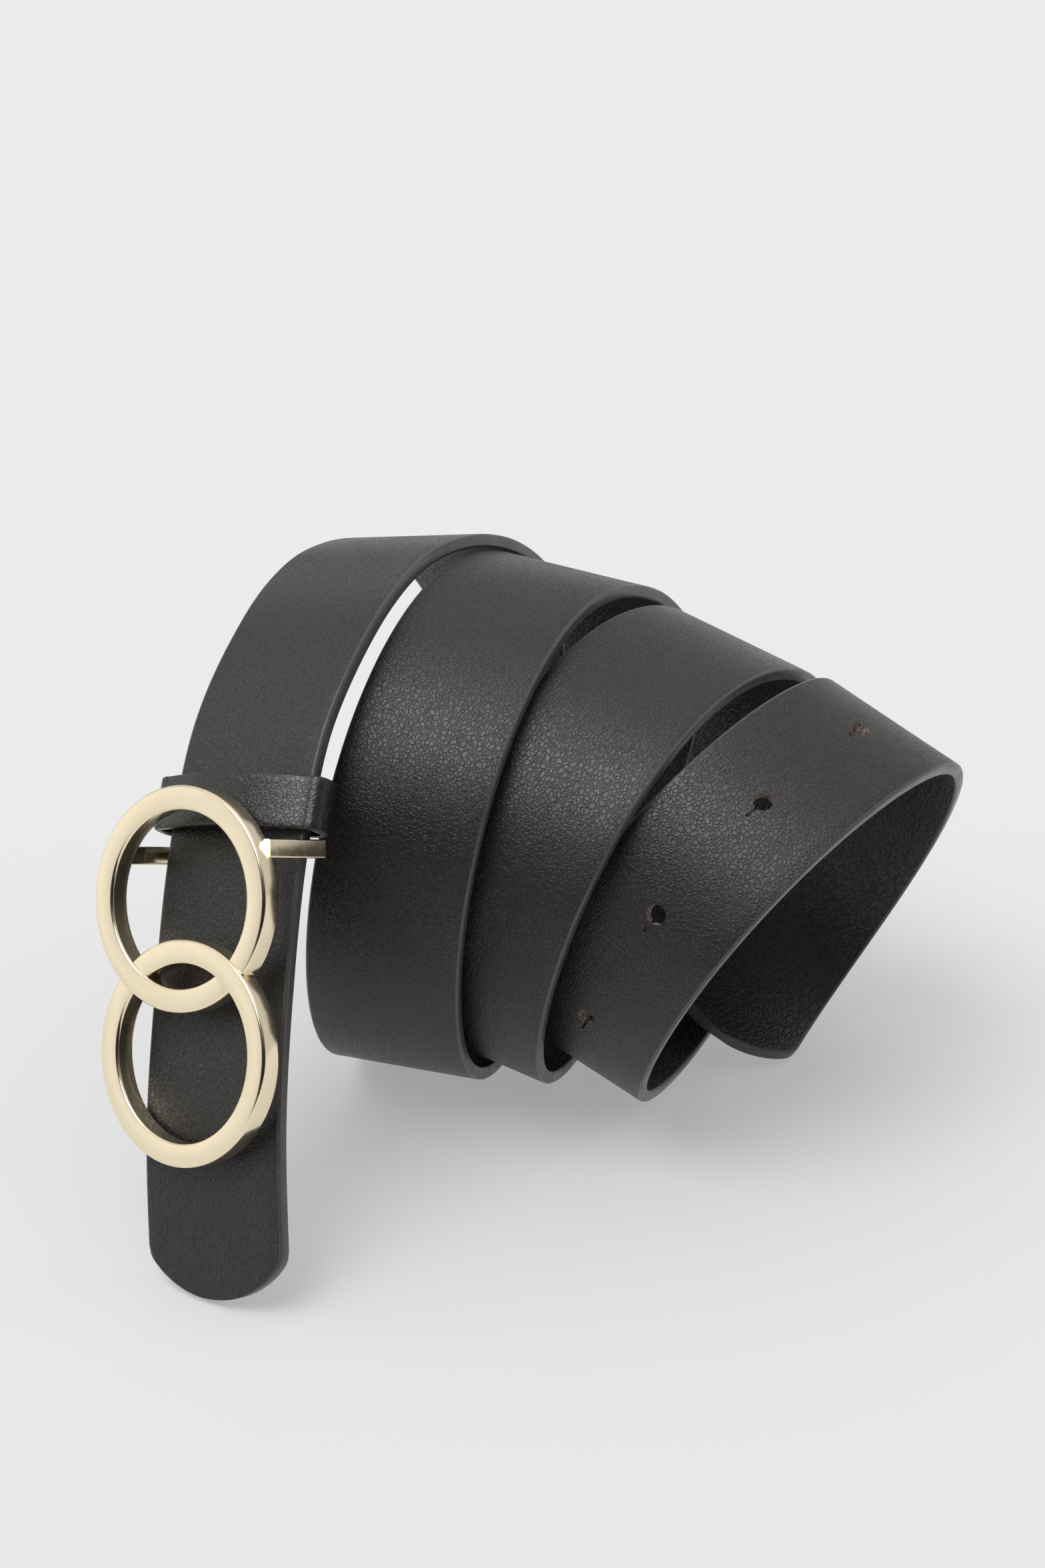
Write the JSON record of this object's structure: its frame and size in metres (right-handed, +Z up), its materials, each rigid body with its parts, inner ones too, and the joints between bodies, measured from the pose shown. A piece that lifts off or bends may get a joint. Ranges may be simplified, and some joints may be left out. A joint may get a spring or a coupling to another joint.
{
  "type": "double ring belt",
  "caption": "Leather belt in a loose roll with a linked double ring metal buckle and a keeper, its free end punched for fastening.",
  "frame": {"origin": "on the ground, under the middle of the box round the whole belt", "axes": "+Z up, +X to the right of the view with the buckle in front, +Y away from that viewer"},
  "size_m": [0.1632, 0.1622, 0.1048],
  "materials": {
    "strap": "fine pebble grain, semi-gloss",
    "keeper": "fine pebble grain, semi-gloss",
    "buckle": "pale gold plate, polished"
  },
  "bodies": {
    "root": {"strap": "strap", "keeper": "keeper", "buckle": "buckle"}
  },
  "joints": []
}
